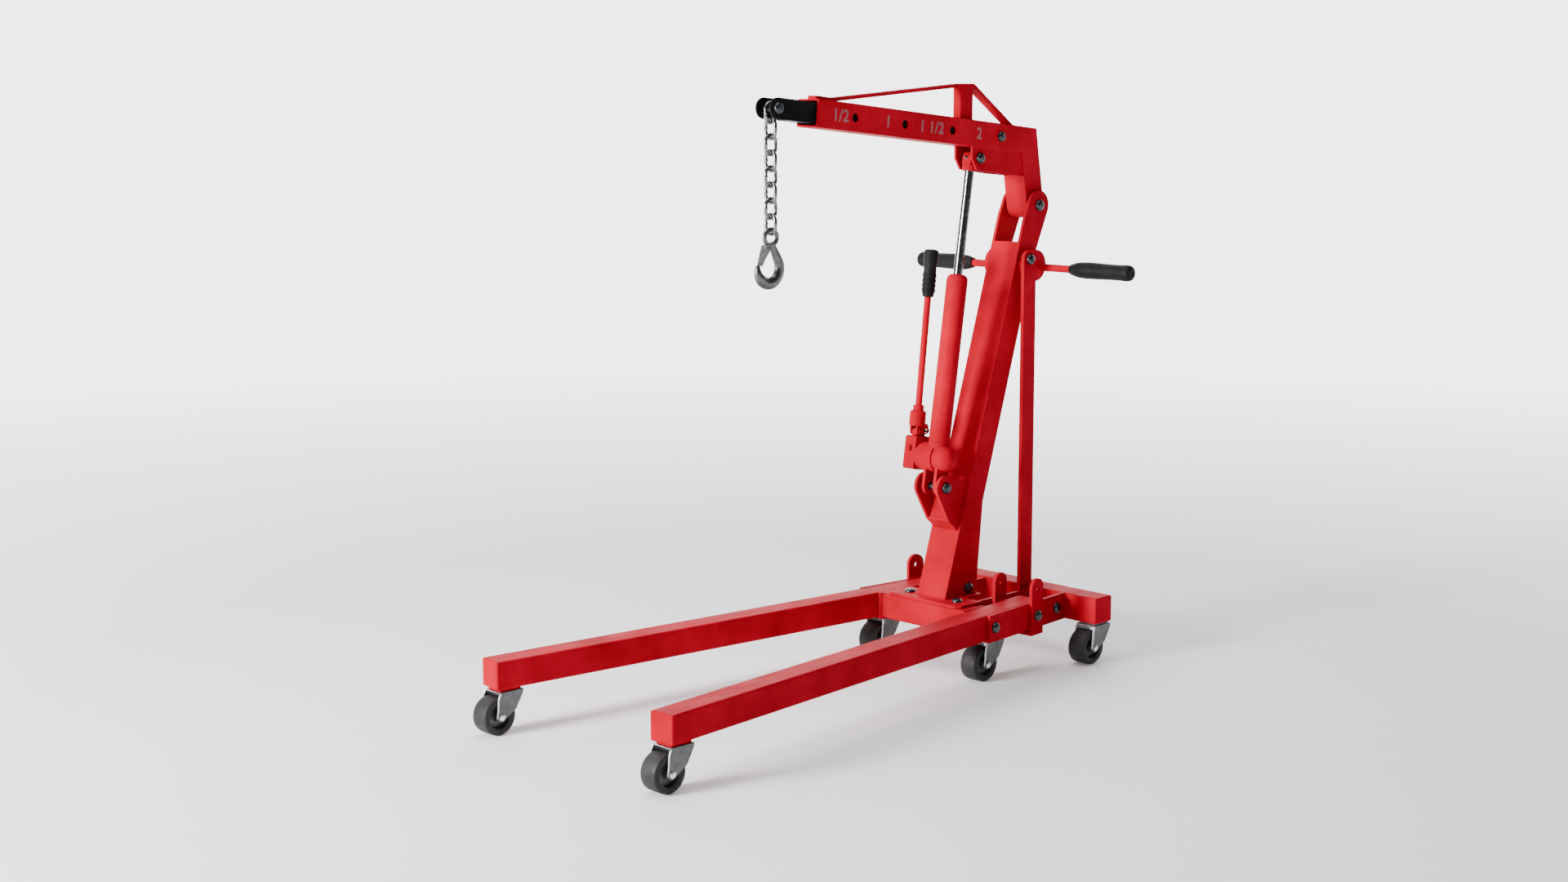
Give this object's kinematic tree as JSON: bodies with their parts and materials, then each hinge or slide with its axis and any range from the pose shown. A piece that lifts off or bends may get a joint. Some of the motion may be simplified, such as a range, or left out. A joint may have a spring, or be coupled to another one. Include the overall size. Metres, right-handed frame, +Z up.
{
  "type": "folding engine hoist crane",
  "caption": "Folding workshop crane: leaning mast, lifting boom with pull-out extension, hydraulic ram with hand pump, chain and hook, splayed folding legs on casters.",
  "frame": {"origin": "on the floor under the middle of the crane's bounding box", "axes": "+Z up, -Y towards the front where the legs and hook reach, +X to the crane's left"},
  "size_m": [0.818, 1.833, 1.697],
  "materials": {
    "red_paint": "gloss",
    "black_paint": "satin",
    "bolt_steel": "satin",
    "bare_steel": "satin",
    "zinc_chain": "satin",
    "zinc_plate": "satin",
    "forged_hook": "satin",
    "chrome_rod": "polished",
    "bronze": "satin",
    "black_rubber": "matte",
    "caster_tyre": "matte"
  },
  "bodies": {
    "base": {"rear_beam": "red_paint", "front_crossmember": "red_paint", "inner_rails": "red_paint", "leg_sockets": "red_paint", "fold_brackets": "red_paint", "mast_base_plate": "red_paint", "mast": "red_paint", "lower_ram_bracket": "red_paint", "strut": "red_paint", "handle_bosses": "red_paint", "handle_bar": "red_paint", "handle_grips": "black_rubber", "frame_bolts": "bolt_steel", "leg_pivot_bolts": "bolt_steel", "leg_pivot_spacers": "bolt_steel", "boom_pivot_bolt": "bolt_steel", "boom_pivot_washers": "bolt_steel", "lower_ram_bolt": "bolt_steel", "caster_plates": "zinc_plate"},
    "boom": {"boom_tube": "red_paint", "boom_pivot_bush": "bronze", "boom_post": "red_paint", "truss_strap": "red_paint", "upper_ram_bracket": "red_paint", "upper_ram_bolt": "bolt_steel"},
    "extension": {"extension_tube": "black_paint", "chain_pin": "bolt_steel"},
    "extension_pin": {"extension_lock_pin": "bolt_steel"},
    "upper_chain": {"chain_upper": "zinc_chain"},
    "lower_chain": {"chain_lower": "zinc_chain"},
    "hook_body": {"hook": "forged_hook"},
    "latch": {"hook_latch": "bare_steel"},
    "ram": {"ram_base": "red_paint", "ram_cylinder": "red_paint", "ram_gland": "red_paint", "pump_pin": "red_paint"},
    "rod": {"ram_rod": "chrome_rod", "ram_piston": "bare_steel"},
    "pump_lever": {"pump_socket": "red_paint", "pump_bar": "red_paint", "pump_grip": "black_rubber"},
    "plunger": {"pump_plunger": "bolt_steel"},
    "valve": {"release_valve": "red_paint"},
    "leg_l": {"leg_left": "red_paint"},
    "leg_r": {"leg_right": "red_paint"},
    "leg_pin_l": {"leg_lock_pin_left": "bolt_steel"},
    "leg_pin_r": {"leg_lock_pin_right": "bolt_steel"},
    "fork_front_left": {"caster_fork_front_left": "zinc_plate"},
    "wheel_front_left": {"caster_wheel_front_left": "caster_tyre"},
    "fork_front_right": {"caster_fork_front_right": "zinc_plate"},
    "wheel_front_right": {"caster_wheel_front_right": "caster_tyre"},
    "fork_middle_left": {"caster_fork_middle_left": "zinc_plate"},
    "wheel_middle_left": {"caster_wheel_middle_left": "caster_tyre"},
    "fork_middle_right": {"caster_fork_middle_right": "zinc_plate"},
    "wheel_middle_right": {"caster_wheel_middle_right": "caster_tyre"},
    "fork_rear_left": {"caster_fork_rear_left": "zinc_plate"},
    "wheel_rear_left": {"caster_wheel_rear_left": "caster_tyre"},
    "fork_rear_right": {"caster_fork_rear_right": "zinc_plate"},
    "wheel_rear_right": {"caster_wheel_rear_right": "caster_tyre"}
  },
  "joints": [
    {"name": "boom_lift", "type": "hinge", "parent": "base", "child": "boom", "pos_m": [0, 0.8725, 1.342], "axis": [-1, 0, 0], "range_deg": [-20, 20]},
    {"name": "ram_tilt", "type": "hinge", "parent": "base", "child": "ram", "pos_m": [0, 0.4805, 0.537], "axis": [-1, 0, 0], "range_deg": [-2.5, 2.5]},
    {"name": "rod_slide", "type": "slide", "parent": "ram", "child": "rod", "axis": [0, 0.1492, 0.9888], "range_m": [-0.1, 0.1]},
    {"name": "extension_slide", "type": "slide", "parent": "boom", "child": "extension", "axis": [0, -0.9957, 0.0931], "range_m": [0, 0.612]},
    {"name": "extension_pin_slide", "type": "slide", "parent": "boom", "child": "extension_pin", "axis": [1, 0, 0], "range_m": [0, 0.06]},
    {"name": "upper_chain_swing", "type": "hinge", "parent": "extension", "child": "upper_chain", "pos_m": [0, -0.1795, 1.62881], "axis": [-1, 0, 0], "range_deg": [-22, 22]},
    {"name": "lower_chain_swing", "type": "hinge", "parent": "upper_chain", "child": "lower_chain", "pos_m": [0, -0.1795, 1.47611], "axis": [0, 1, 0], "range_deg": [-25, 25]},
    {"name": "hook_swing", "type": "hinge", "parent": "lower_chain", "child": "hook_body", "pos_m": [0, -0.1795, 1.29841], "axis": [1, 0, 0], "range_deg": [-30, 30]},
    {"name": "latch_open", "type": "hinge", "parent": "hook_body", "child": "latch", "pos_m": [0, -0.1955, 1.26291], "axis": [1, 0, 0], "range_deg": [0, 40], "stiffness_Nm_per_rad": 0.05, "springref_deg": -11.46},
    {"name": "pump_stroke", "type": "hinge", "parent": "ram", "child": "pump_lever", "pos_m": [-0.079, 0.4885, 0.69], "axis": [1, 0, 0], "range_deg": [0, 30]},
    {"name": "plunger_slide", "type": "slide", "parent": "ram", "child": "plunger", "axis": [0, 0, 1], "range_m": [0, 0.0145]},
    {"name": "valve_turn", "type": "hinge", "parent": "ram", "child": "valve", "pos_m": [-0.079, 0.45844, 0.6455], "axis": [0, -0.9888, 0.1492], "range_deg": [0, 270]},
    {"name": "leg_fold_left", "type": "hinge", "parent": "base", "child": "leg_l", "pos_m": [0.18471, 0.65938, 0.162], "axis": [-0.9947, -0.1028, 0], "range_deg": [0, 90]},
    {"name": "leg_pin_left_slide", "type": "slide", "parent": "base", "child": "leg_pin_l", "axis": [0.9947, 0.1028, 0], "range_m": [0, 0.06]},
    {"name": "leg_fold_right", "type": "hinge", "parent": "base", "child": "leg_r", "pos_m": [-0.18471, 0.65938, 0.162], "axis": [-0.9947, 0.1028, 0], "range_deg": [0, 90]},
    {"name": "leg_pin_right_slide", "type": "slide", "parent": "base", "child": "leg_pin_r", "axis": [-0.9947, 0.1028, 0], "range_m": [0, 0.06]},
    {"name": "swivel_front_left", "type": "hinge", "parent": "leg_l", "child": "fork_front_left", "pos_m": [0.33857, -0.8295, 0.114], "axis": [0, 0, 1], "continuous": true},
    {"name": "roll_front_left", "type": "hinge", "parent": "fork_front_left", "child": "wheel_front_left", "pos_m": [0.33857, -0.8655, 0.051], "axis": [1, 0, 0], "continuous": true},
    {"name": "swivel_front_right", "type": "hinge", "parent": "leg_r", "child": "fork_front_right", "pos_m": [-0.33857, -0.8295, 0.114], "axis": [0, 0, 1], "continuous": true},
    {"name": "roll_front_right", "type": "hinge", "parent": "fork_front_right", "child": "wheel_front_right", "pos_m": [-0.33857, -0.8655, 0.051], "axis": [1, 0, 0], "continuous": true},
    {"name": "swivel_middle_left", "type": "hinge", "parent": "base", "child": "fork_middle_left", "pos_m": [0.20217, 0.4905, 0.114], "axis": [0, 0, 1], "continuous": true},
    {"name": "roll_middle_left", "type": "hinge", "parent": "fork_middle_left", "child": "wheel_middle_left", "pos_m": [0.20217, 0.4545, 0.051], "axis": [1, 0, 0], "continuous": true},
    {"name": "swivel_middle_right", "type": "hinge", "parent": "base", "child": "fork_middle_right", "pos_m": [-0.20217, 0.4905, 0.114], "axis": [0, 0, 1], "continuous": true},
    {"name": "roll_middle_right", "type": "hinge", "parent": "fork_middle_right", "child": "wheel_middle_right", "pos_m": [-0.20217, 0.4545, 0.051], "axis": [1, 0, 0], "continuous": true},
    {"name": "swivel_rear_left", "type": "hinge", "parent": "base", "child": "fork_rear_left", "pos_m": [0.298, 0.864, 0.114], "axis": [0, 0, 1], "continuous": true},
    {"name": "roll_rear_left", "type": "hinge", "parent": "fork_rear_left", "child": "wheel_rear_left", "pos_m": [0.298, 0.828, 0.051], "axis": [1, 0, 0], "continuous": true},
    {"name": "swivel_rear_right", "type": "hinge", "parent": "base", "child": "fork_rear_right", "pos_m": [-0.298, 0.864, 0.114], "axis": [0, 0, 1], "continuous": true},
    {"name": "roll_rear_right", "type": "hinge", "parent": "fork_rear_right", "child": "wheel_rear_right", "pos_m": [-0.298, 0.828, 0.051], "axis": [1, 0, 0], "continuous": true}
  ],
  "couplings": [
    {"joint": "ram_tilt", "follows": "boom_lift", "ratio": 0.108},
    {"joint": "rod_slide", "follows": "boom_lift", "m_per_rad": 0.2655},
    {"joint": "upper_chain_swing", "follows": "boom_lift", "ratio": -1},
    {"joint": "plunger_slide", "follows": "pump_stroke", "m_per_rad": 0.0275}
  ]
}
